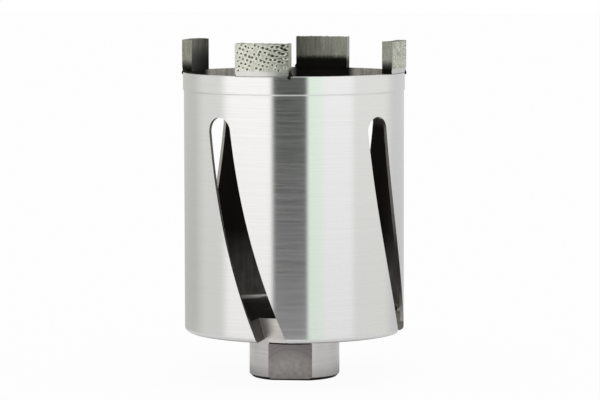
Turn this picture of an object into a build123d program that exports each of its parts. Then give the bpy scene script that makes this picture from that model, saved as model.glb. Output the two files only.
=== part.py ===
from build123d import *

import math
import os

# Diamond core bit for drilling sockets and pipe holes dry. A thin turned barrel, open at the cutting
# end, carries four sintered diamond segments on its rim. Four curved slots, milled through the wall,
# run out through the barrel's foot and the flange below it: dust leaves by them, and a rod put in
# pushes the core out. Flange and hub are one turned piece, bored for an M16 spindle.
# Millimetres, +Z up, origin at the centre of the hub's lower face. Angles turn from +X about +Z.

# Cutting end
cut_diameter = 68.0
segment_count = 4
segment_length = 16.4  # straight across, between the two parallel ends
segment_thickness = 3.1
segment_height = 9.8
segment_edge = 0.25  # bevel on the segment's ends and top
segment_stand_out = 0.42  # by which a segment cuts clear of the collar, on the radius
segment_turn = 0.0

# Barrel
collar_step = 0.29  # by which the collar stands out from the barrel, on the radius
collar_height = 5.2
collar_shoulder = 0.45  # height of the cone from the collar in to the barrel
collar_edge = 0.12
barrel_wall = 1.0
barrel_height = 75.6

# Slots, as a mill leaves them when it points at the axis and the barrel turns as it is fed past
slot_count = 4
slot_width = 8.4
slot_tip_depth = 12.0  # from the rim down to the slot's rounded end
slot_lean = 7.6  # degrees from the axis at the rounded end
slot_bend_radius = 227.0  # of the centre line, in the unrolled wall
slot_floor_radius = 23.0  # how near to the axis the mill reaches, which shows in the flange
slot_turn = -25.0  # where the rounded end of the first slot lies
slot_sections = 8

# Flange and hub
lip_thickness = 3.0
lip_round = 1.5
spigot_height = 3.2  # reach of the flange inside the barrel
spigot_edge = 0.3
spigot_clearance = 0.03  # to the barrel's bore, on the radius
hub_diameter = 27.4
hub_height = 13.9
hub_edge = 0.9
neck_groove_width = 0.7  # relief turned where the hub meets the flange
neck_groove_depth = 0.25
flats_across = 24.0
flats_height = 11.1
flats_turn = -79.5
thread_diameter = 16.0
bore_edge = 1.0

# Worked out from the sizes above
cut_radius = cut_diameter / 2
collar_radius = cut_radius - segment_stand_out
barrel_radius = collar_radius - collar_step
barrel_bore_radius = barrel_radius - barrel_wall
hub_radius = hub_diameter / 2
bore_radius = thread_diameter / 2
seat_z = hub_height + lip_thickness  # the barrel's foot on the flange's lip
rim_z = seat_z + barrel_height
collar_z = rim_z - collar_height
spigot_top_z = seat_z + spigot_height
spigot_radius = barrel_bore_radius - spigot_clearance
slot_top_z = rim_z - slot_tip_depth - slot_width / 2  # centre of the rounded end
slot_reach = cut_radius - slot_floor_radius + slot_width / 2  # runs clear of the barrel's outside
slot_end_z = hub_height - slot_width / 2  # clear below the flange


def slot_plane(slope):
    """Plane square to the slot where its centre line slopes that much, x outwards from the floor."""
    fall = slot_bend_radius * (math.sin(slope) - math.sin(math.radians(slot_lean)))
    across = slot_bend_radius * (math.cos(math.radians(slot_lean)) - math.cos(slope))
    turn = across / barrel_radius
    outwards = Vector(math.cos(turn), math.sin(turn), 0)
    along = Vector(math.sin(turn) * math.sin(slope), -math.cos(turn) * math.sin(slope), math.cos(slope))
    return Plane(
        origin=outwards * slot_floor_radius + Vector(0, 0, slot_top_z - fall), x_dir=outwards, z_dir=along
    )


# The metal one slot takes away: sections along the bending centre line, and the mill's own round.
first_slope = math.radians(slot_lean)
last_slope = math.asin(math.sin(first_slope) + (slot_top_z - slot_end_z) / slot_bend_radius)
with BuildPart() as slot_cut:
    for step in range(slot_sections):
        slope = first_slope + (last_slope - first_slope) * step / (slot_sections - 1)
        with BuildSketch(slot_plane(slope)):
            Rectangle(slot_reach, slot_width, align=(Align.MIN, Align.CENTER))
    loft()
    with BuildSketch(Plane.YZ.offset(slot_floor_radius)):
        with Locations((0, slot_top_z)):
            Circle(slot_width / 2)
    extrude(amount=slot_reach)

# Turned tube with a slightly larger collar at the rim, then the slots.
with BuildPart() as barrel:
    with BuildSketch(Plane.XZ):
        with BuildLine():
            Polyline(
                (barrel_bore_radius, seat_z),
                (barrel_radius, seat_z),
                (barrel_radius, collar_z - collar_shoulder),
                (collar_radius, collar_z),
                (collar_radius, rim_z - collar_edge),
                (collar_radius - collar_edge, rim_z),
                (barrel_bore_radius, rim_z),
                close=True,
            )
        make_face()
    revolve(axis=Axis.Z)
    with PolarLocations(0, slot_count, start_angle=slot_turn):
        add(slot_cut.part, mode=Mode.SUBTRACT)
barrel.part.label = "barrel"

# Flange and hub, turned in one piece, then milled for the wrench flats and by the slots.
with BuildPart() as hub:
    with BuildSketch(Plane.XZ) as hub_section:
        with BuildLine():
            Polyline(
                (bore_radius + bore_edge, 0),
                (hub_radius - hub_edge, 0),
                (hub_radius, hub_edge),
                (hub_radius, hub_height - neck_groove_width),
                (hub_radius - neck_groove_depth, hub_height - neck_groove_width),
                (hub_radius - neck_groove_depth, hub_height),
                (barrel_radius, hub_height),
                (barrel_radius, seat_z),
                (spigot_radius, seat_z),
                (spigot_radius, spigot_top_z - spigot_edge),
                (spigot_radius - spigot_edge, spigot_top_z),
                (bore_radius + bore_edge, spigot_top_z),
                (bore_radius, spigot_top_z - bore_edge),
                (bore_radius, bore_edge),
                close=True,
            )
        make_face()
        lip_corner = hub_section.vertices().group_by(Axis.X)[-1].sort_by(Axis.Y)[0]
        fillet(lip_corner, radius=lip_round)
    revolve(axis=Axis.Z)
    with BuildSketch(Plane.XY):
        Circle(hub_radius + hub_edge)
        Rectangle(flats_across, hub_diameter * 2, rotation=flats_turn, mode=Mode.SUBTRACT)
    extrude(amount=flats_height, mode=Mode.SUBTRACT)
    with PolarLocations(0, slot_count, start_angle=slot_turn):
        add(slot_cut.part, mode=Mode.SUBTRACT)
hub.part.label = "hub"

# One pressed and sintered segment, its foot on the rim.
with BuildPart() as segment:
    with BuildSketch(Plane.XY.offset(rim_z)):
        Circle(cut_radius)
        Circle(cut_radius - segment_thickness, mode=Mode.SUBTRACT)
        Rectangle(cut_diameter, segment_length, align=(Align.MIN, Align.CENTER), mode=Mode.INTERSECT)
    extrude(amount=segment_height)
    upright_edges = segment.edges().filter_by(Axis.Z)
    top_edges = segment.edges().group_by(Axis.Z)[-1]
    chamfer(upright_edges + top_edges, length=segment_edge)

os.makedirs("parts", exist_ok=True)
export_step(barrel.part, "parts/barrel.step")
export_step(hub.part, "parts/hub.step")
for index in range(segment_count):
    with BuildPart() as placed_segment:
        with PolarLocations(0, 1, start_angle=segment_turn + 360 * index / segment_count):
            add(segment.part)
    placed_segment.part.label = f"segment_{index + 1}"
    export_step(placed_segment.part, f"parts/{placed_segment.part.label}.step")
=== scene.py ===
import math
import random

import bpy
from mathutils import Matrix, Vector, noise
from mathutils.kdtree import KDTree


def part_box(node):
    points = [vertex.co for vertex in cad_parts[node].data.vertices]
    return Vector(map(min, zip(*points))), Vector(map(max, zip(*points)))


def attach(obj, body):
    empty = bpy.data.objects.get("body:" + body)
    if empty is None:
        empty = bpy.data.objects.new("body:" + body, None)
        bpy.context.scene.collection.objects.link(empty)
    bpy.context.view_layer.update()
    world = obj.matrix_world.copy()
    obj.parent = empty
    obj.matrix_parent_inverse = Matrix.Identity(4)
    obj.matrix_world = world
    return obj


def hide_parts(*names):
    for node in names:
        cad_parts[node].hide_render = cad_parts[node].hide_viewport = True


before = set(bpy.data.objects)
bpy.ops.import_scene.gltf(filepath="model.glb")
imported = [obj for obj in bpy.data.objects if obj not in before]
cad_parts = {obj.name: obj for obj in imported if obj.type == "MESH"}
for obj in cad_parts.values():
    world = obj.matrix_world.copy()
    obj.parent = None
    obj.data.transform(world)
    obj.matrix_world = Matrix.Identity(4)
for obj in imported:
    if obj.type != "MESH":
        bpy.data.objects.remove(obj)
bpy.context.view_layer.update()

mm = 0.001
hair = 0.01 * mm  # less than any real size here

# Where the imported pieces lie: every new piece takes its place from these.
barrelLow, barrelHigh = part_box("barrel")
hubLow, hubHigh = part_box("hub")
seatZ = barrelLow.z
rimZ = barrelHigh.z
discTopZ = hubHigh.z


def clearSelection():
    if bpy.context.mode != "OBJECT":
        bpy.ops.object.mode_set(mode="OBJECT")
    bpy.ops.object.select_all(action="DESELECT")


def activate(piece):
    clearSelection()
    piece.select_set(True)
    bpy.context.view_layer.objects.active = piece


def namePiece(name):
    # the object that the last operator added
    piece = bpy.context.object
    piece.name = name
    piece.data.name = name
    return piece


def selectWhere(piece, kind, test):
    # picks vertices or edges by place, for the edit mode operators that follow
    activate(piece)
    bpy.ops.object.mode_set(mode="EDIT")
    bpy.ops.mesh.select_mode(type=kind)
    bpy.ops.mesh.select_all(action="DESELECT")
    bpy.ops.object.mode_set(mode="OBJECT")
    mesh = piece.data
    if kind == "VERT":
        for vertex in mesh.vertices:
            vertex.select = test(vertex.co)
    else:
        for edge in mesh.edges:
            edge.select = test(*(mesh.vertices[i].co for i in edge.vertices))
    bpy.ops.object.mode_set(mode="EDIT")


def applyModifiers(piece):
    activate(piece)
    for modifier in list(piece.modifiers):
        bpy.ops.object.modifier_apply(modifier=modifier.name)


def combine(piece, other, operation):
    change = piece.modifiers.new(operation.lower(), "BOOLEAN")
    change.object = other
    change.operation = operation
    change.solver = "EXACT"
    applyModifiers(piece)


def smoothEdges(piece, angle=32):
    # broad faces keep their own direction right up to a small round beside them
    activate(piece)
    bpy.ops.object.shade_smooth_by_angle(angle=math.radians(angle))
    weigh = piece.modifiers.new("weigh", "WEIGHTED_NORMAL")
    weigh.keep_sharp = True
    applyModifiers(piece)


def near(a, b, slack=2 * hair):
    return abs(a - b) < slack


def clamp(value):
    return max(0.0, min(1.0, value))


def turned(angle, radius, z=0.0):
    return Vector((radius * math.cos(angle), radius * math.sin(angle), z))


def linear(code):
    # sRGB hex to the linear colour that the shaders take
    parts = [int(code[i:i + 2], 16) / 255 for i in (1, 3, 5)]
    return tuple(c / 12.92 if c <= 0.04045 else ((c + 0.055) / 1.055) ** 2.4 for c in parts) + (1.0,)


def addNode(tree, kind, inputs=None, **settings):
    node = tree.nodes.new(kind)
    for name, value in settings.items():
        setattr(node, name, value)
    for socket, value in (inputs or {}).items():
        if isinstance(value, bpy.types.NodeSocket):
            tree.links.new(value, node.inputs[socket])
        else:
            node.inputs[socket].default_value = value
    return node


def newMaterial(name):
    material = bpy.data.materials.new(name)
    material.use_nodes = True
    tree = material.node_tree
    tree.nodes.clear()
    output = addNode(tree, "ShaderNodeOutputMaterial")
    return material, tree, output


def rampStops(node, stops):
    ramp = node.color_ramp
    while len(ramp.elements) < len(stops):
        ramp.elements.new(0.5)
    for element, (place, colour) in zip(ramp.elements, stops):
        element.position = place
        element.color = colour


noiseRange = 0.3, 0.7  # what noise mostly stays within


# Each of these adds one step to a material and gives back what comes out of it.
def objectPlace(tree):
    return addNode(tree, "ShaderNodeTexCoord").outputs["Object"]


def reckon(tree, operation, *values, **settings):
    node = addNode(tree, "ShaderNodeMath", dict(enumerate(values)), operation=operation, **settings)
    return node.outputs[0]


def span(tree, value, low, high, start=0.0, end=1.0):
    # start where the value is low or less, end where it is high or more, and even between them
    return addNode(tree, "ShaderNodeMapRange", {0: value, 1: low, 2: high, 3: start, 4: end}).outputs[0]


def blend(tree, share, first, second):
    # each colour is a hex code or comes from another step
    first, second = (linear(colour) if isinstance(colour, str) else colour for colour in (first, second))
    return addNode(tree, "ShaderNodeMix", {0: share, 6: first, 7: second}, data_type="RGBA").outputs[2]


def specks(tree, place, waves, detail, roughness=0.5):
    # waves per metre, the same every way or for x, y and z
    if isinstance(waves, tuple):
        place, waves = addNode(tree, "ShaderNodeMapping", {0: place, "Scale": waves}).outputs[0], 1.0
    return addNode(tree, "ShaderNodeTexNoise", {"Vector": place, "Scale": waves, "Detail": detail,
                                                "Roughness": roughness}).outputs[0]


def rings(tree, value, pitch, detail, roughness=0.5):
    return addNode(tree, "ShaderNodeTexNoise", {"W": value, "Scale": 1 / pitch, "Detail": detail,
                                                "Roughness": roughness}, noise_dimensions="1D").outputs[0]


def ridges(tree, height, look):
    return addNode(tree, "ShaderNodeBump", {"Height": height, "Strength": look["bump"],
                                            "Distance": look["depth"]}).outputs[0]


def shadeMetal(tree, output, colour, metallic, roughness, more=None):
    shader = addNode(tree, "ShaderNodeBsdfPrincipled", {
        "Base Color": colour, "Metallic": metallic, "Roughness": roughness, **(more or {})})
    tree.links.new(shader.outputs[0], output.inputs[0])


# angles in degrees, the focal length in pixels of a render 600 wide
viewing = {"azimuth": 16.7, "distance": 927.92 * mm, "aboveRim": 42.35 * mm, "pitch": 5.008,
           "yaw": 0.109, "roll": -0.097, "focalPixels": 3068.4, "imageWidth": 600, "sensor": 36.0,
           "seesTo": 50.0}


def makeCamera(v):
    azimuth = math.radians(v["azimuth"])
    place = turned(azimuth - math.pi / 2, v["distance"], rimZ + v["aboveRim"])
    aim = (Matrix.Rotation(azimuth - math.radians(v["yaw"]), 4, "Z")
           @ Matrix.Rotation(math.radians(90 - v["pitch"]), 4, "X")
           @ Matrix.Rotation(math.radians(v["roll"]), 4, "Z"))
    data = bpy.data.cameras.new("camera")
    data.sensor_width = v["sensor"]
    data.lens = v["focalPixels"] / v["imageWidth"] * v["sensor"]
    data.clip_end = v["seesTo"]
    camera = bpy.data.objects.new("camera", data)
    bpy.context.scene.collection.objects.link(camera)
    camera.matrix_world = Matrix.Translation(place) @ aim
    bpy.context.scene.camera = camera


makeCamera(viewing)
print("camera placed")


# waves are counted per metre, round the piece
turnedLook = {"pale": "#f2f2f2", "deep": "#f0f0f0", "roughness": 0.21, "spread": 0.05, "across": 1.0,
              "lineWidth": 0.16 * mm, "lineWaves": 30, "bandWidth": 1.1 * mm, "depth": 0.0002 * mm,
              "bump": 0.06, "contrast": (0.36, 0.64), "acrossTurn": 0.25,
              "filmAndShade": 0.11, "filmWidth": 0.5 * mm, "filmWaves": 70, "filmRange": (0.35, 0.7)}


def turnedSteel(name, look):
    # bright steel, fine turned: rings too fine to count that draw every reflection out up and down
    material, tree, output = newMaterial(name)
    place = objectPlace(tree)
    height = addNode(tree, "ShaderNodeSeparateXYZ", {0: place}).outputs["Z"]
    fine = specks(tree, place, (look["lineWaves"], look["lineWaves"], 1 / look["lineWidth"]), 4.0, 0.7)
    broad = rings(tree, height, look["bandWidth"], 5.0, 0.65)
    half = reckon(tree, "MULTIPLY", reckon(tree, "ADD", fine, broad), 0.5)
    colour = blend(tree, span(tree, half, *look["contrast"]), look["deep"], look["pale"])
    rough = span(tree, half, *noiseRange, look["roughness"] + look["spread"],
                 look["roughness"] - look["spread"])
    # a film of oil lies in some rings: it lifts dark reflections a little and leaves bright ones alone
    oily = specks(tree, place, (look["filmWaves"], look["filmWaves"], 1 / look["filmWidth"]), 3.0)
    filmAndShade = span(tree, oily, *look["filmRange"], 1.0, 1.0 - look["filmAndShade"])
    around = addNode(tree, "ShaderNodeTangent", direction_type="RADIAL", axis="Z").outputs[0]
    shadeMetal(tree, output, colour, filmAndShade, rough, {
        "Anisotropic": look["across"], "Anisotropic Rotation": look["acrossTurn"], "Tangent": around,
        "Normal": ridges(tree, half, look)})
    return material


hubLook = {**turnedLook, "pale": "#dfdddc", "deep": "#d6d4d3", "across": 0.8}
insideLook = {"pale": "#f2efe9", "deep": "#bdb8b1", "filmAndShade": "#2e2a26", "burnShade": "#151412",
              "roughness": 0.45, "metallic": 0.8, "bump": 0.25, "depth": 0.02 * mm, "contrast": (0.75, 1.25),
              # streaks 0.9 mm wide and 14 mm long, patches 4 mm across
              "streaks": (1100, 1100, 70), "patches": 260.0,
              "bareBelow": 21 * mm, "shadeFrom": 42 * mm, "shadeTo": 74 * mm, "bareAbove": 91 * mm,
              "lowShare": 0.5, "burnShadeFrom": 3.0 * mm, "burnShadeTo": 6.0 * mm, "burnShadeEdge": 0.15,
              "burnShadeFull": 0.5}


def drawnSteel(look):
    # drawn tube left as rolled: brown-grey and streaked along its length, dark with painted shade except
    # near its ends, and black beside the segments from weld burn and painted shade
    material, tree, output = newMaterial("drawnSteelTubeBore")
    place = objectPlace(tree)
    streak = specks(tree, place, look["streaks"], 4.0)
    patch = specks(tree, place, look["patches"], 3.0)
    tone = span(tree, reckon(tree, "ADD", streak, patch), *look["contrast"])
    skin = blend(tree, tone, look["deep"], look["pale"])
    parts = addNode(tree, "ShaderNodeSeparateXYZ", {0: place}).outputs
    # painted shade: dark through the middle of the bore, away from its open ends
    bareLow = span(tree, parts["Z"], look["bareBelow"], look["shadeFrom"], look["lowShare"], 0.0)
    bareHigh = span(tree, parts["Z"], look["shadeTo"], look["bareAbove"])
    shadeDarkened = blend(tree, reckon(tree, "MAXIMUM", bareLow, bareHigh), look["filmAndShade"], skin)
    # weld burn and painted shade: black behind each segment, just below the rim
    # four segments: the cosine of four times the heading is 1 behind each and falls between them
    heading = reckon(tree, "ARCTAN2", parts["Y"], parts["X"])
    beside = reckon(tree, "COSINE", reckon(tree, "MULTIPLY", heading, 4.0))
    reach = span(tree, beside, look["burnShadeEdge"], look["burnShadeFull"])
    depth = span(tree, parts["Z"], rimZ - look["burnShadeTo"], rimZ - look["burnShadeFrom"])
    colour = blend(tree, reckon(tree, "MULTIPLY", reach, depth), shadeDarkened, look["burnShade"])
    shadeMetal(tree, output, colour, look["metallic"], look["roughness"],
               {"Normal": ridges(tree, streak, look)})
    return material


discLook = {"pale": "#33261f", "deep": "#0a0807", "roughness": 0.45, "metallic": 0.8,
            "ringPitch": 0.9 * mm, "contrast": (0.4, 0.75)}


def shadeAndOilSteel(look):
    # turned face, nearly black, with the tool's rings just showing: painted shade on the disc top inside the
    # tube, in the bottom bevel and above the flats, and dark oil in the threaded bore
    material, tree, output = newMaterial("steelOilAndPaintedShade")
    parts = addNode(tree, "ShaderNodeSeparateXYZ", {0: objectPlace(tree)}).outputs
    level = addNode(tree, "ShaderNodeCombineXYZ", {0: parts["X"], 1: parts["Y"], 2: 0.0}).outputs[0]
    radius = addNode(tree, "ShaderNodeVectorMath", {0: level}, operation="LENGTH").outputs["Value"]
    tone = span(tree, rings(tree, radius, look["ringPitch"], 3.0), *look["contrast"])
    colour = blend(tree, tone, look["deep"], look["pale"])
    shadeMetal(tree, output, colour, look["metallic"], look["roughness"])
    return material


brazeLook = {"pale": "#f6f6f4", "deep": "#c4c3c0", "roughness": 0.3, "lumps": 700.0, "bump": 0.5,
             "depth": 0.1 * mm}


def brazeMetal(look):
    # silver braze, run into the corner and left: bright, with soft lumps 1.4 mm across
    material, tree, output = newMaterial("silverBrazeAsRun")
    lumps = specks(tree, objectPlace(tree), look["lumps"], 3.0)
    colour = blend(tree, lumps, look["deep"], look["pale"])
    shadeMetal(tree, output, colour, 1.0, look["roughness"], {"Normal": ridges(tree, lumps, look)})
    return material


milledLook = {"pale": "#c6c1bf", "deep": "#aca6a4", "outer": "#8d8786", "roughness": 0.33,
              "arcPitch": 0.42 * mm, "centreZ": 0.4 * mm, "centreAlong": 0.2 * mm,
              "from": 5.5 * mm, "to": 9.5 * mm, "waver": 0.9 * mm, "warps": 180.0, "patches": 700.0,
              "bump": 0.1, "depth": 0.02 * mm}


def milledSteel(look, facing):
    # face-milled flat: arcs from the cutter's teeth, each a faint ridge, that fade towards their middle
    material, tree, output = newMaterial("steelFaceMilled")
    # on the flat: x runs along the flat, y up; both flats share the pattern
    inPlane = addNode(tree, "ShaderNodeMapping", {0: objectPlace(tree), "Rotation": (0, 0, -facing)})
    parts = addNode(tree, "ShaderNodeSeparateXYZ", {0: inPlane.outputs[0]}).outputs
    flatPlace = addNode(tree, "ShaderNodeCombineXYZ", {0: parts["Y"], 1: parts["Z"], 2: 0.0}).outputs[0]
    away = addNode(tree, "ShaderNodeVectorMath", {
        0: flatPlace, 1: (look["centreAlong"], look["centreZ"], 0)}, operation="DISTANCE").outputs["Value"]
    warp = specks(tree, flatPlace, look["warps"], 3.0)
    arcs = rings(tree, reckon(tree, "MULTIPLY_ADD", warp, look["waver"], away), look["arcPitch"], 4.0, 0.6)
    patch = specks(tree, flatPlace, look["patches"], 4.0)
    middle = blend(tree, span(tree, patch, *noiseRange), look["deep"], look["pale"])
    ringed = blend(tree, span(tree, arcs, *noiseRange), look["outer"], look["deep"])
    colour = blend(tree, span(tree, away, look["from"], look["to"]), middle, ringed)
    shadeMetal(tree, output, colour, 1.0, look["roughness"], {"Normal": ridges(tree, arcs, look)})
    return material


slotLook = {"pale": "#d2cfcb", "deep": "#aaa6a2", "roughness": 0.34, "ridges": (200, 200, 2200),
            "bump": 0.15, "depth": 0.02 * mm}
# the flange's cut walls are darker than the tube's, as painted shade in the groove, and its cut floor is
# brighter
wallLook = {**slotLook, "pale": "#a39f9b", "deep": "#6e6a66", "roughness": 0.36}
grooveLook = {**slotLook, "pale": "#f1efec", "deep": "#cbc8c4", "roughness": 0.3}


def slotMilled(name, look):
    # steel cut by the side of an end mill: ridges 0.45 mm apart, a little duller than the turned skin
    material, tree, output = newMaterial(name)
    marks = specks(tree, objectPlace(tree), look["ridges"], 3.0)
    colour = blend(tree, marks, look["deep"], look["pale"])
    shadeMetal(tree, output, colour, 1.0, look["roughness"], {"Normal": ridges(tree, marks, look)})
    return material


# what makeSegment writes on every vertex of a segment, from 0 to 1
marked = ("pitPaintedShade", "rim", "foot", "level", "streaked", "burnShade")
sinterLook = {"pale": "#e4e6db", "mid": "#bec0b2", "shadeAndWearDark": "#4a483d", "pitPaintedShade": "#302f26", "rim": "#fafcf0",
              "foot": "#dfe0dd", "burnShade": "#12110f", "roughness": 0.5, "footRoughness": 0.3,
              "metallic": 0.85, "grains": 2600.0, "streaks": (1500, 1500, 130), "streakShare": 0.12,
              "contrast": (0.34, 0.66), "bump": 0.5, "depth": 0.05 * mm}


def sinteredMetal(look):
    # pressed and sintered powder: greenish grey and grainy, each pit darkened by painted shade and ringed by
    # a painted highlight, paler where smeared metal is polished, every face of every segment darkened by its
    # own painted shade, the ends and the inner face most, and these streaked, black near the rim from weld
    # burn and painted shade, and bright at the ground foot
    material, tree, output = newMaterial("sinteredSegment")
    place = objectPlace(tree)
    # grains 0.4 mm across, coarser than real grit so that they show, and streaks 0.7 mm wide
    grains = specks(tree, place, look["grains"], 5.0, 0.65)
    streak = specks(tree, place, look["streaks"], 4.0)
    named = {name: addNode(tree, "ShaderNodeAttribute", attribute_name=name).outputs["Fac"]
             for name in marked}
    body = blend(tree, span(tree, grains, *look["contrast"]), look["mid"], look["pale"])
    dull = span(tree, streak, *noiseRange, -look["streakShare"], look["streakShare"])
    level = reckon(tree, "MULTIPLY_ADD", dull, named["streaked"], named["level"], use_clamp=True)
    # painted shade: each face darkens towards this colour by its level, the ends and inner faces most;
    # dragged wear darkens the outer face too
    colour = blend(tree, level, look["shadeAndWearDark"], body)
    for name in ("pitPaintedShade", "rim", "foot", "burnShade"):
        colour = blend(tree, named[name], colour, look[name])
    rough = span(tree, named["foot"], 0.0, 1.0, look["roughness"], look["footRoughness"])
    shadeMetal(tree, output, colour, look["metallic"], rough, {"Normal": ridges(tree, grains, look)})
    return material


slots = {"count": 4, "width": 8.4 * mm, "floor": 23.0 * mm, "lean": math.radians(7.6), "bend": 227.0 * mm,
         "tipDepth": 12.4 * mm, "turn": math.radians(-25.0), "reach": 38 * mm, "overrun": 1.14, "cuts": 160,
         "endRounds": 24, "endShare": 0.9999, "corner": 0.25 * mm, "cornerRounds": 3}


def makeSlotCutter(name, v):
    # a straight bar with one rounded end, cut across many times, then bent to the slot's curve
    endZ = rimZ - v["tipDepth"] - v["width"] / 2
    length = (endZ - hubLow.z) * v["overrun"]
    bpy.ops.mesh.primitive_cube_add(size=1, location=((v["floor"] + v["reach"]) / 2, 0, 0))
    cutter = namePiece(name)
    cutter.scale = (v["reach"] - v["floor"], v["width"], length)
    bpy.ops.object.transform_apply(location=True, rotation=False, scale=True)
    top = length / 2
    selectWhere(cutter, "EDGE", lambda a, b: a.z > 0 and b.z > 0 and near(a.y, b.y))
    # a hair short of half the width, so that the two rounds never run into each other
    bpy.ops.mesh.bevel(offset=v["width"] / 2 * v["endShare"], segments=v["endRounds"], affect="EDGES")
    selectWhere(cutter, "EDGE", lambda a, b: near(a.x, v["floor"]) and near(b.x, v["floor"])
                and max(a.z, b.z) > -top)
    bpy.ops.mesh.bevel(offset=v["corner"], segments=v["cornerRounds"], affect="EDGES")
    for step in range(1, v["cuts"]):
        bpy.ops.mesh.select_all(action="SELECT")
        height = -top + (length - v["width"] / 2) * step / v["cuts"]
        bpy.ops.mesh.bisect(plane_co=(0, 0, height), plane_no=(0, 0, 1))
    bpy.ops.object.mode_set(mode="OBJECT")
    for vertex in cutter.data.vertices:
        outwards, aside, along = vertex.co
        slope = v["lean"] + (top - v["width"] / 2 - along) / v["bend"]
        fall = v["bend"] * (math.sin(slope) - math.sin(v["lean"]))
        turn = v["turn"] + v["bend"] * (math.cos(v["lean"]) - math.cos(slope)) / wallRadius
        across = Vector((-math.sin(turn) * math.cos(slope), math.cos(turn) * math.cos(slope),
                         math.sin(slope)))
        vertex.co = turned(turn, outwards, endZ - fall) + across * aside
    return cutter


def cutSlots(piece, cutter, v):
    for _ in range(v["count"]):
        cutter.data.transform(Matrix.Rotation(math.tau / v["count"], 4, "Z"))
        combine(piece, cutter, "DIFFERENCE")


barrelSizes = {"wall": 1.0 * mm, "collarStep": 0.29 * mm, "collarHeight": 5.2 * mm, "shoulder": 0.45 * mm,
               "edge": 0.12 * mm, "innerEdge": 0.06 * mm, "steps": 360}
collarRadius = barrelHigh.x
wallRadius = collarRadius - barrelSizes["collarStep"]
boreRadius = wallRadius - barrelSizes["wall"]


def startSection(name, low, high):
    # a flat face in the XZ plane, from corner low (x, z) to corner high
    bpy.ops.mesh.primitive_plane_add(size=1, rotation=(math.pi / 2, 0, 0),
                                     location=((low[0] + high[0]) / 2, 0, (low[1] + high[1]) / 2))
    piece = namePiece(name)
    piece.scale = (high[0] - low[0], high[1] - low[1], 1)
    bpy.ops.object.transform_apply(location=True, rotation=True, scale=True)
    return piece


def pullEdge(piece, test, offset):
    selectWhere(piece, "EDGE", lambda a, b: test(a) and test(b))
    bpy.ops.mesh.extrude_region_move(TRANSFORM_OT_translate={"value": offset})
    bpy.ops.object.mode_set(mode="OBJECT")


def roundCorner(piece, x, z, size, segments=1):
    selectWhere(piece, "VERT", lambda co: near(co.x, x) and near(co.z, z))
    bpy.ops.mesh.bevel(offset=size, offset_type="OFFSET", segments=segments, affect="VERTICES")
    bpy.ops.object.mode_set(mode="OBJECT")


def spinSection(piece, steps):
    # only the outline is spun, all the way round, and closed on itself
    activate(piece)
    bpy.ops.object.mode_set(mode="EDIT")
    bpy.ops.mesh.select_all(action="SELECT")
    bpy.ops.mesh.spin(steps=steps, angle=math.tau, center=(0, 0, 0), axis=(0, 0, 1))
    bpy.ops.mesh.select_all(action="SELECT")
    bpy.ops.mesh.remove_doubles(threshold=hair / 5)
    bpy.ops.mesh.normals_make_consistent(inside=False)
    bpy.ops.object.mode_set(mode="OBJECT")


def keepOutline(piece):
    # inner edges are those with a face on both sides
    activate(piece)
    bpy.ops.object.mode_set(mode="EDIT")
    bpy.ops.mesh.select_mode(type="EDGE")
    bpy.ops.mesh.select_all(action="DESELECT")
    bpy.ops.mesh.select_non_manifold()
    bpy.ops.mesh.select_all(action="INVERT")
    bpy.ops.mesh.delete(type="EDGE")
    bpy.ops.mesh.select_all(action="SELECT")
    bpy.ops.mesh.delete(type="ONLY_FACE")
    # points in a straight run would hold the corners back from their full size
    bpy.ops.mesh.select_all(action="SELECT")
    bpy.ops.mesh.dissolve_limited(angle_limit=math.radians(0.5))
    bpy.ops.object.mode_set(mode="OBJECT")


brazeSizes = {"reach": 0.9 * mm, "height": 1.2 * mm, "bite": 0.2 * mm, "roundShare": 0.97, "rounds": 7,
              "steps": 180}


def makeBraze(v):
    # round bead in the corner between the tube's bore and the flange
    inner, top = boreRadius - v["reach"], discTopZ + v["height"]
    ring = startSection("brazeBead", (inner, discTopZ + hair), (boreRadius + v["bite"], top))
    keepOutline(ring)
    roundCorner(ring, inner, top, v["reach"] * v["roundShare"], v["rounds"])
    spinSection(ring, v["steps"])
    return ring


def makeBarrel(v, cutter):
    collarZ = rimZ - v["collarHeight"]
    barrel = startSection("barrelTube", (boreRadius, seatZ), (wallRadius, rimZ))
    activate(barrel)
    bpy.ops.object.mode_set(mode="EDIT")
    for z in (collarZ - v["shoulder"], collarZ):
        bpy.ops.mesh.select_all(action="SELECT")
        bpy.ops.mesh.bisect(plane_co=(0, 0, z), plane_no=(0, 0, 1))
    selectWhere(barrel, "VERT", lambda co: near(co.x, wallRadius) and co.z > collarZ - hair)
    bpy.ops.transform.translate(value=(v["collarStep"], 0, 0))
    bpy.ops.object.mode_set(mode="OBJECT")
    keepOutline(barrel)
    roundCorner(barrel, collarRadius, rimZ, v["edge"])
    roundCorner(barrel, boreRadius, rimZ, v["innerEdge"])
    spinSection(barrel, v["steps"])
    braze = makeBraze(brazeSizes)
    combine(barrel, braze, "UNION")
    bpy.data.objects.remove(braze)
    cutSlots(barrel, cutter, slots)
    smoothEdges(barrel, angle=20)
    return barrel


hubSizes = {"radius": 13.7 * mm, "height": 13.9 * mm, "bore": 8.0 * mm, "lipRound": 1.5 * mm,
            "edge": 0.9 * mm, "boreEdge": 1.0 * mm, "spigotGap": 0.03 * mm, "spigotEdge": 0.3 * mm,
            "reliefWidth": 0.7 * mm, "reliefDepth": 0.25 * mm,
            "flats": 24.0 * mm, "flatsHeight": 11.1 * mm, "flatsTurn": math.radians(-79.5), "steps": 288,
            "pitch": 2.0 * mm, "threadDepth": 1.08 * mm, "threadFlat": 0.1, "threadFade": 0.5 * mm,
            "rowsPerTurn": 16, "shadeAbove": 0.45 * mm, "flatBreak": 0.5 * mm,
            "blockDepth": 10 * mm, "blockWidth": 40 * mm, "lipRounds": 10}


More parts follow.
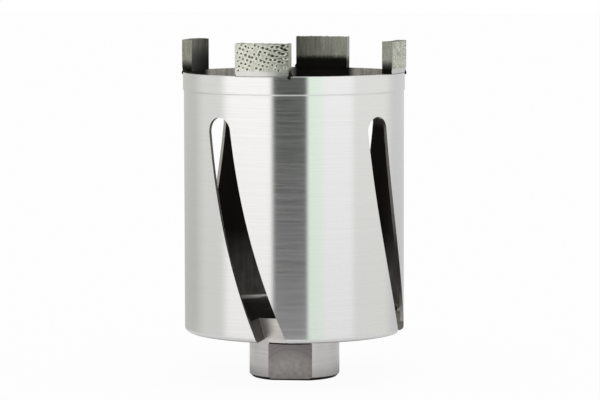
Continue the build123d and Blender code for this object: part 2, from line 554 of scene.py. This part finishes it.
def cutThread(piece, v):
    # the bore's skin follows a helix: roots at the bore's radius, crests that stand in towards the axis,
    # both flat over the same share of a turn
    low, high = v["boreEdge"], discTopZ - v["boreEdge"]
    for vertex in piece.data.vertices:
        x, y, z = vertex.co
        radius = math.hypot(x, y)
        if near(radius, v["bore"]) and low < z < high:
            turn = (z / v["pitch"] - math.atan2(y, x) / math.tau) % 1
            crest = clamp((abs(turn - 0.5) - v["threadFlat"] / 2) / (0.5 - v["threadFlat"]))
            fade = min(1, (z - low) / v["threadFade"], (high - z) / v["threadFade"])
            share = 1 - v["threadDepth"] * crest * fade / radius
            vertex.co = (x * share, y * share, z)


def makeHub(v, cutter):
    shoulderZ, reliefZ = v["height"], v["height"] - v["reliefWidth"]
    neckX, spigotX = v["radius"] - v["reliefDepth"], boreRadius - v["spigotGap"]
    hub = startSection("hubFlange", (v["bore"], 0), (neckX, reliefZ))
    topZ = reliefZ
    for z in (shoulderZ, seatZ, discTopZ):
        pullEdge(hub, lambda co: near(co.z, topZ), (0, 0, z - topZ))
        topZ = z
    pullEdge(hub, lambda co: near(co.x, neckX) and co.z < reliefZ + hair, (v["reliefDepth"], 0, 0))
    pullEdge(hub, lambda co: near(co.x, neckX) and co.z > shoulderZ - hair, (spigotX - neckX, 0, 0))
    pullEdge(hub, lambda co: near(co.x, spigotX) and co.z < seatZ + hair, (wallRadius - spigotX, 0, 0))
    keepOutline(hub)
    roundCorner(hub, wallRadius, shoulderZ, v["lipRound"], v["lipRounds"])
    roundCorner(hub, v["radius"], 0, v["edge"])
    roundCorner(hub, spigotX, discTopZ, v["spigotEdge"])
    roundCorner(hub, v["bore"], 0, v["boreEdge"])
    roundCorner(hub, v["bore"], discTopZ, v["boreEdge"])
    low, high = v["boreEdge"] - hair, discTopZ - v["boreEdge"] + hair
    selectWhere(hub, "EDGE", lambda a, b: all(near(c.x, v["bore"]) and low < c.z < high for c in (a, b)))
    bpy.ops.mesh.subdivide(number_cuts=round((high - low) / v["pitch"] * v["rowsPerTurn"]))
    spinSection(hub, v["steps"])
    cutThread(hub, v)
    # each flat is one cut of a block held upright, centred on the ground, and its lower edge is broken by a
    # second one at 45 degrees
    breakReach = (v["flats"] / 2 - v["flatBreak"]) * math.cos(math.pi / 4)
    for side in (0, math.pi):
        facing = v["flatsTurn"] + side
        for tilt, reach in ((0, v["flats"] / 2), (math.pi / 4, breakReach)):
            along = reach + v["blockDepth"] / 2
            bpy.ops.mesh.primitive_cube_add(
                size=1, rotation=(0, tilt, facing),
                location=turned(facing, along * math.cos(tilt), -along * math.sin(tilt)))
            block = namePiece("flatBlock")
            block.scale = (v["blockDepth"], v["blockWidth"], 2 * v["flatsHeight"])
            bpy.ops.object.transform_apply(location=True, rotation=True, scale=True)
            combine(hub, block, "DIFFERENCE")
            bpy.data.objects.remove(block)
    activate(hub)
    bpy.ops.object.mode_set(mode="EDIT")
    bpy.ops.mesh.select_all(action="SELECT")
    # where the painted shade above the flats ends
    bpy.ops.mesh.bisect(plane_co=(0, 0, v["flatsHeight"] + v["shadeAbove"]), plane_no=(0, 0, 1))
    bpy.ops.object.mode_set(mode="OBJECT")
    cutSlots(hub, cutter, slots)
    smoothEdges(hub)
    return hub


segmentSizes = {"length": 16.4 * mm, "thickness": 3.1 * mm, "height": 9.8 * mm, "standOut": 0.42 * mm,
                "cutsAlong": 136, "cutsUp": 82, "cutsThrough": 14, "weld": 0.16 * mm,
                "skin": 0.1 * mm, "ripple": 0.35 * mm, "rippleSize": 1.1 * mm, "rippleApart": 31 * mm,
                # the ground foot and the black of weld burn and painted shade beside it, both with a
                # wandering edge
                "foot": 1.6 * mm, "footFade": 0.5 * mm, "footWander": 0.7 * mm, "burnShadeWander": 0.3 * mm,
                "burnShadeCurve": 2.2, "wanderSize": 0.9 * mm,
                # pits, in rows counted up from the foot
                "rows": (-5, 13), "columns": (-9, 10), "pitchAlong": 1.21 * mm, "pitchUp": 1.32 * mm,
                "rowFall": 0.31, "firstRow": 0.5 * mm, "jitter": 0.16 * mm, "missing": 0.08, "seed": 40,
                "strength": (0.65, 1.1), "footGap": 0.1 * mm, "topGap": 0.4 * mm, "endGap": 0.6 * mm,
                "pitRadius": 0.34 * mm, "pitDepth": 0.3 * mm, "pitShade": 0.75,
                "rimAt": 1.6, "rimWidth": 0.4, "rimHeight": 0.8,
                # wear to the right, where the work dragged: longer, darker pits and smeared metal
                "dragFrom": 1.5 * mm, "dragRise": 1.6, "drawnOut": 0.9, "ragged": 0.5, "polish": 1.5,
                "dragDark": 0.6, "smearDark": 1.5, "smearLong": 1.3 * mm, "smearHigh": 0.36 * mm}
# for each face: how pale its painted shade leaves it, by how much paler at its far end, and in millimetres
# up from the rim where it stops being black from weld burn and painted shade and where that black ends, both
# below the rim for a face that isn't blackened
segmentShadeAndBurn = [
    {"outer": (0.72, 0, -3, -1), "end": (0.8, 0, 1.0, 4.2), "inner": (0.3, 0.1, 2.8, 3.6)},
    {"outer": (0.8, 0, -3, -1), "end": (0.6, 0, 1.6, 3.6), "inner": (0.42, -0.28, 2.4, 4.0)},
    {"outer": (0.7, 0, -3, -1), "end": (0.42, 0, 0.5, 3.8), "inner": (0.16, 0.08, 2.0, 7.5)},
    {"outer": (1.0, 0, -3, -1), "end": (0.9, 0, 1.2, 2.6), "inner": (0.3, 0.1, 2.8, 3.6)}]
outerRadius = collarRadius + segmentSizes["standOut"]


def makeBlank(v, outer):
    # a bar cut into a fine grid; makeSegment lays its long faces on the two radii, its ends stay parallel
    bpy.ops.mesh.primitive_cube_add(size=1, location=(outer - v["thickness"] / 2, 0, rimZ + v["height"] / 2))
    blank = namePiece("segmentBlank")
    blank.scale = (v["thickness"], v["length"], v["height"])
    bpy.ops.object.transform_apply(location=True, rotation=False, scale=True)
    for axis, cuts in ((1, v["cutsAlong"]), (2, v["cutsUp"]), (0, v["cutsThrough"])):
        selectWhere(blank, "EDGE", lambda a, b: near(abs((a - b)[axis]), (a - b).length))
        bpy.ops.mesh.subdivide(number_cuts=cuts)
        bpy.ops.object.mode_set(mode="OBJECT")
    return blank


def pitField(v, seed):
    # pit centres on the outer face, in rows that fall to the right, none in the smooth foot
    dice = random.Random(seed)
    centres = []
    for row in range(*v["rows"]):
        for column in range(*v["columns"]):
            along = (column + 0.5 * (row % 2)) * v["pitchAlong"]
            up = v["foot"] + v["firstRow"] + row * v["pitchUp"] - along * v["rowFall"]
            along += dice.uniform(-1, 1) * v["jitter"]
            up += dice.uniform(-1, 1) * v["jitter"]
            strength = dice.uniform(*v["strength"])
            inside = (v["foot"] + v["footGap"] < up < v["height"] - v["topGap"]
                      and abs(along) < v["length"] / 2 - v["endGap"])
            if inside and dice.random() > v["missing"]:
                centres.append((along, up, strength))
    tree = KDTree(len(centres))
    for index, (along, up, _) in enumerate(centres):
        tree.insert((along, up, 0), index)
    tree.balance()
    return tree, centres


def makeSegment(index, blank, v, faceShadeAndBurn, outer):
    segment = blank.copy()
    segment.data = blank.data.copy()
    bpy.context.scene.collection.objects.link(segment)
    segment.name = f"segmentSintered{index + 1}"
    segment.data.name = segment.name
    tree, centres = pitField(v, v["seed"] + index)
    half = v["length"] / 2
    marks = {name: [0.0] * len(segment.data.vertices) for name in marked}
    for i, vertex in enumerate(segment.data.vertices):
        radius, along, z = vertex.co
        up = z - rimZ
        onOuter = near(radius, outer, hair / 10)
        face = "outer" if onOuter else "end" if near(abs(along), half, hair / 10) else "inner"
        # level is the painted shade of this face of this segment
        level, slope, burntAndShaded, clear = faceShadeAndBurn[face]
        level += slope * along / half
        # each segment takes its own stretch of every noise
        wander = noise.noise(vertex.co / v["wanderSize"] + Vector((7 * index, 0, 0)))
        clearOfBurnShade = clamp((clear * mm - up - v["burnShadeWander"] * wander) / ((clear - burntAndShaded) * mm))
        burnShadeShare = 1 - (1 - clearOfBurnShade) ** v["burnShadeCurve"]
        marks["streaked"][i] = 0.0 if onOuter else 1.0
        if onOuter:
            dragged = clamp((along + v["dragFrom"]) / half) * clamp(up / v["height"] * v["dragRise"])
            smear = noise.noise(Vector((along / v["smearLong"], up / v["smearHigh"], 3.0 * index)))
            radius -= v["skin"]
            if up > v["foot"]:
                middle, middleUp, strength = centres[tree.find((along, up, 0))[1]]
                offset = Vector(((along - middle) / (1 + v["drawnOut"] * dragged), up - middleUp))
                share = offset.length / (v["pitRadius"] * strength * (1 + v["ragged"] * smear))
                hollow = math.exp(-share ** 4)
                crest = math.exp(-((share - v["rimAt"]) / v["rimWidth"]) ** 2)
                radius += v["skin"] * v["rimHeight"] * crest - v["pitDepth"] * hollow
                # painted shade in each pit and a painted highlight round it; the polish on the smears is
                # wear
                marks["pitPaintedShade"][i] = hollow * (v["pitShade"] + (1 - v["pitShade"]) * dragged)
                marks["rim"][i] = clamp(crest + v["polish"] * dragged * max(0, -smear)) * (1 - hollow)
            foot = clamp((v["foot"] + v["footWander"] * wander - up) / v["footFade"] + 0.5)
            # the foot runs down onto the collar in an even double curve
            rise = clamp(up / v["foot"])
            radius -= (v["standOut"] - v["skin"]) * (1 - rise ** 2 * (3 - 2 * rise))
            if up < hair / 10:
                # the weld closes the break of the rim's edge
                radius = collarRadius + hair
                z -= v["weld"]
            marks["foot"][i] = foot * (1 - burnShadeShare)
            level = clamp(level - dragged ** 2 * (v["dragDark"] + v["smearDark"] * max(0, smear)))
        # the top edge is worn down in waves, which die out twice their height below it
        reach = 2 * v["ripple"]
        sunk = v["ripple"] * clamp((up - v["height"] + reach) / reach)
        wave = noise.noise(Vector((radius, along, v["rippleApart"] * index)) / v["rippleSize"])
        z -= sunk * (0.5 + 0.5 * wave)
        marks["level"][i] = level
        marks["burnShade"][i] = burnShadeShare
        vertex.co = (math.sqrt(radius ** 2 - along ** 2), along, z)
    for name, values in marks.items():
        layer = segment.data.attributes.new(name, "FLOAT", "POINT")
        layer.data.foreach_set("value", values)
    parts = makeBeads(beadSizes, index)
    activate(segment)
    for part in parts:
        part.select_set(True)
    bpy.ops.object.join()
    segment.data.transform(Matrix.Rotation(index * math.tau / len(segmentShadeAndBurn), 4, "Z"))
    smoothEdges(segment, angle=50)
    return segment


beadSizes = {"radial": 0.75 * mm, "aside": 1.1 * mm, "up": 1.1 * mm, "clear": 0.1 * mm, "above": 0.15 * mm,
             "dripRadius": 0.34 * mm, "dripWide": 1.6, "dripLength": 0.8 * mm, "dripHang": 0.3,
             "dripTall": 0.7, "dripOut": 0.12 * mm, "lumps": 0.12 * mm, "lumpSize": 0.5 * mm,
             "burntAndShaded": 0.85, "points": 24}


def makeBeads(v, index):
    # where the weld ends: a lump beside the foot, with a drip down the collar, both dark from weld burn and
    # painted shade
    angle = math.asin((segmentSizes["length"] / 2 + v["clear"]) / collarRadius)
    beadPlace = turned(angle, collarRadius - v["radial"], rimZ + v["above"])
    dripPlace = turned(angle, collarRadius + v["dripOut"], rimZ - v["dripLength"] * v["dripHang"])
    dripSize = (v["dripRadius"], v["dripRadius"] * v["dripWide"], v["dripLength"] * v["dripTall"])
    parts = []
    for place, size in ((beadPlace, (v["radial"], v["aside"], v["up"])), (dripPlace, dripSize)):
        bpy.ops.mesh.primitive_uv_sphere_add(segments=v["points"], ring_count=v["points"] // 2, radius=1,
                                             location=place, rotation=(0, 0, angle))
        part = namePiece("weldBead")
        part.scale = size
        bpy.ops.object.transform_apply(location=True, rotation=True, scale=True)
        for vertex in part.data.vertices:
            lump = noise.noise(vertex.co / v["lumpSize"] + Vector((0, 5 * index, 0)))
            vertex.co.z -= v["lumps"] * lump
        layer = part.data.attributes.new("burnShade", "FLOAT", "POINT")
        layer.data.foreach_set("value", [v["burntAndShaded"]] * len(part.data.vertices))
        parts.append(part)
    return parts


cutter = makeSlotCutter("slotCutter", slots)
barrel = makeBarrel(barrelSizes, cutter)
print("barrel turned and slotted")
hub = makeHub(hubSizes, cutter)
print("hub turned, milled and slotted")
bpy.data.objects.remove(cutter)

blank = makeBlank(segmentSizes, outerRadius)
segments = [makeSegment(index, blank, segmentSizes, faceShadeAndBurn, outerRadius)
            for index, faceShadeAndBurn in enumerate(segmentShadeAndBurn)]
bpy.data.objects.remove(blank)
print("segments pressed")

steel = turnedSteel("brightSteelFineTurned", turnedLook)
hubSteel = turnedSteel("greySteelTurned", hubLook)
inside = drawnSteel(insideLook)
flatSteel = milledSteel(milledLook, hubSizes["flatsTurn"])
sinter = sinteredMetal(sinterLook)
slotSteel = slotMilled("steelEndMilled", slotLook)
wallSteel = slotMilled("steelEndMilledPaintedShade", wallLook)
grooveSteel = slotMilled("steelEndMilledBright", grooveLook)
oiled = shadeAndOilSteel(discLook)
braze = brazeMetal(brazeLook)

# how a face lies decides its finish: cosines of its normal with the radius or the axis, and places
faces = {"inwards": -0.7, "flat": 0.999, "slotWall": 0.6, "upright": 0.9, "bevel": -0.3, "landHalf": 0.82,
         "corner": 0.2, "floor": 0.975, "floorLow": slots["floor"] - 0.1 * mm,
         "floorHigh": slots["floor"] + 1.0 * mm}


def dress(piece, materials, choose):
    names = list(materials)
    for material in materials.values():
        piece.data.materials.append(material)
    for face in piece.data.polygons:
        face.material_index = names.index(choose(face.center, face.normal))


def outwardsAt(centre):
    return Vector((centre.x, centre.y, 0)).normalized()


def onFlat(centre, normal):
    outwards = turned(hubSizes["flatsTurn"], 1)
    return (abs(normal.dot(outwards)) > faces["flat"]
            and near(abs(centre.dot(outwards)), hubSizes["flats"] / 2))


def inSlot(centre, normal):
    # milled walls stand neither square to the radius nor square to the axis
    return (abs(normal.dot(outwardsAt(centre))) < faces["slotWall"] and abs(normal.z) < faces["upright"]
            and centre.z > hubSizes["height"])


def barrelFinish(centre, normal):
    radius = math.hypot(centre.x, centre.y)
    if inSlot(centre, normal):
        return "slot"
    if centre.z < discTopZ + brazeSizes["height"] and radius < boreRadius - hair / 2:
        return "braze"
    inwards = outwardsAt(centre).dot(normal) < faces["inwards"]
    return "bore" if inwards and radius < boreRadius + 10 * hair else "turned"


def hubFinish(centre, normal):
    radius = math.hypot(centre.x, centre.y)
    outwards = outwardsAt(centre)
    if onFlat(centre, normal):
        return "flat"
    # the threaded bore takes the near-black steel as dark oil, the disc top inside the tube as painted shade
    atBore = radius < hubSizes["bore"] + hubSizes["boreEdge"] + 2 * hair and centre.z > hair
    if atBore or (centre.z > discTopZ - 2 * hair and normal.z > faces["upright"]):
        return "oiled"
    # painted shade: the near-black steel in the bottom bevel and on the narrow lands where the flats end
    inBevel = hair < centre.z < hubSizes["edge"] and normal.z < faces["bevel"]
    byFlat = abs(outwards.dot(turned(hubSizes["flatsTurn"], 1))) > faces["landHalf"]
    above = centre.z - hubSizes["flatsHeight"]
    if inBevel or (byFlat and 0 < above < hubSizes["shadeAbove"]):
        return "oiled"
    if centre.z < hubSizes["height"]:
        return "hub"
    # the groove that a slot leaves in the flange: its floor, the round in its corner and its walls
    facing = normal.dot(outwards)
    atFloor = faces["floorLow"] < radius < faces["floorHigh"] and abs(normal.z) < faces["upright"]
    if atFloor and facing > faces["corner"]:
        # the round in the groove's corner takes the bright braze colour: a painted highlight
        return "grooveFloor" if facing > faces["floor"] else "grooveCorner"
    return "grooveWall" if inSlot(centre, normal) else "turned"


dress(barrel, {"turned": steel, "bore": inside, "slot": slotSteel, "braze": braze}, barrelFinish)
dress(hub, {"turned": steel, "flat": flatSteel, "grooveFloor": grooveSteel, "oiled": oiled, "hub": hubSteel,
            "grooveWall": wallSteel, "grooveCorner": braze}, hubFinish)
for segment in segments:
    dress(segment, {"sinter": sinter}, lambda centre, normal: "sinter")

for piece, node, slotName in [(barrel, "barrel", "turned_steel"), (hub, "hub", "hub_steel")] + [
        (segments[i], f"segment_{i + 1}", "sintered_segment") for i in range(4)]:
    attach(piece, "root")
    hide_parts(node)
print("pieces dressed")


studio = {"floorSize": 8.0, "floor": "#dedede", "whiten": 0.95, "whitenInMetal": 0.1, "plainLight": 0.72,
          "sunPower": 0.85, "sunSpread": 50, "sunTilt": 20}
# Plain cards in a ring round the bit, which only its metal sees: from and to in degrees from the front, to
# the left negative, and their colour. They dim towards the ground. The one without a colour is the gap
# in front, where the dark room shows, paler near the ground.
cards = {"radius": 80 * mm, "sides": 180, "height": 450 * mm, "lowZ": 20 * mm, "highZ": 95 * mm,
         "strength": 1.2, "lowDim": 0.88, "gapHigh": "#404440", "gapLow": "#6c6c6c",
         "panels": [(-180, -105, "#b8b8b4"), (-88, -67, "#d0d0cc"), (-58, -20, "#f4f2f0"), (-16, 9.5, None),
                    (12, 20, "#dce8dc"), (28, 49, "#e8e8e8"), (54, 90, "#d8d8d4"), (105, 180, "#c4c4c4")]}


def grey(level):
    return (level, level, level, 1)


def makeWorld(v):
    # plain soft light, in front of plain white
    world = bpy.data.worlds.new("studio")
    bpy.context.scene.world = world
    world.use_nodes = True
    tree = world.node_tree
    tree.nodes.clear()
    output = addNode(tree, "ShaderNodeOutputWorld")
    path = addNode(tree, "ShaderNodeLightPath").outputs
    direct = reckon(tree, "MAXIMUM", path["Is Camera Ray"], path["Is Glossy Ray"])
    white = reckon(tree, "MAXIMUM", direct, path["Is Transmission Ray"])
    strength = span(tree, white, 0.0, 1.0, v["plainLight"], 1.0)
    light = addNode(tree, "ShaderNodeBackground", {0: grey(1.0), 1: strength})
    tree.links.new(light.outputs[0], output.inputs[0])


def makeFloor(v):
    # pale paper, whitened so that it runs into the white behind it and keeps a faint shadow
    bpy.ops.mesh.primitive_plane_add(size=v["floorSize"], location=(0, 0, 0))
    floor = namePiece("floor")
    material, tree, output = newMaterial("paperSweep")
    path = addNode(tree, "ShaderNodeLightPath").outputs
    eye = reckon(tree, "MULTIPLY", path["Is Camera Ray"], v["whiten"])
    metal = reckon(tree, "MAXIMUM", path["Is Glossy Ray"], path["Is Transmission Ray"])
    share = reckon(tree, "MULTIPLY_ADD", metal, v["whitenInMetal"], eye)
    paper = addNode(tree, "ShaderNodeBsdfDiffuse", {0: linear(v["floor"])})
    white = addNode(tree, "ShaderNodeEmission", {0: grey(1.0), 1: 1.0})
    both = addNode(tree, "ShaderNodeMixShader", {0: share, 1: paper.outputs[0], 2: white.outputs[0]})
    tree.links.new(both.outputs[0], output.inputs[0])
    floor.data.materials.append(material)


def makeCards(v):
    bpy.ops.mesh.primitive_cylinder_add(vertices=v["sides"], radius=v["radius"], depth=v["height"],
                                        end_fill_type="NOTHING", location=(0, 0, v["height"] / 2))
    ring = namePiece("cards")
    bpy.ops.object.transform_apply(location=True, rotation=False, scale=False)
    activate(ring)
    bpy.ops.object.shade_smooth()
    material, tree, output = newMaterial("cards")
    fromFront = addNode(tree, "ShaderNodeMapping", {
        0: objectPlace(tree), "Rotation": (0, 0, -math.radians(viewing["azimuth"]))})
    parts = addNode(tree, "ShaderNodeSeparateXYZ", {0: fromFront.outputs[0]}).outputs
    heading = reckon(tree, "ARCTAN2", parts["X"], reckon(tree, "MULTIPLY", parts["Y"], -1.0))
    share = span(tree, heading, -math.pi, math.pi)
    high, low = (addNode(tree, "ShaderNodeValToRGB", {0: share}) for _ in range(2))
    for ramp, gap, dim in ((high, v["gapHigh"], 1.0), (low, v["gapLow"], v["lowDim"])):
        stops = []
        for start, end, code in v["panels"]:
            colour = [part * dim for part in linear(code)] if code else linear(gap)
            stops += [((start + 180) / 360, colour), ((end + 180) / 360, colour)]
        rampStops(ramp, stops)
    rise = span(tree, parts["Z"], v["lowZ"], v["highZ"])
    colour = blend(tree, rise, low.outputs[0], high.outputs[0])
    glow = addNode(tree, "ShaderNodeEmission", {0: colour, 1: v["strength"]})
    tree.links.new(glow.outputs[0], output.inputs[0])
    material.cycles.emission_sampling = "NONE"
    ring.data.materials.append(material)
    ring.visible_camera = False
    ring.visible_diffuse = False
    ring.visible_transmission = False
    ring.visible_shadow = False


def makeSun(v):
    data = bpy.data.lights.new("softSun", "SUN")
    data.energy = v["sunPower"]
    data.angle = math.radians(v["sunSpread"])
    sun = bpy.data.objects.new("softSun", data)
    bpy.context.scene.collection.objects.link(sun)
    sun.rotation_euler = (math.radians(v["sunTilt"]), 0, math.radians(viewing["azimuth"]))
    sun.visible_glossy = False


makeWorld(studio)
makeFloor(studio)
makeCards(cards)
makeSun(studio)
bpy.context.scene.view_settings.view_transform = "Standard"
print("studio lit")
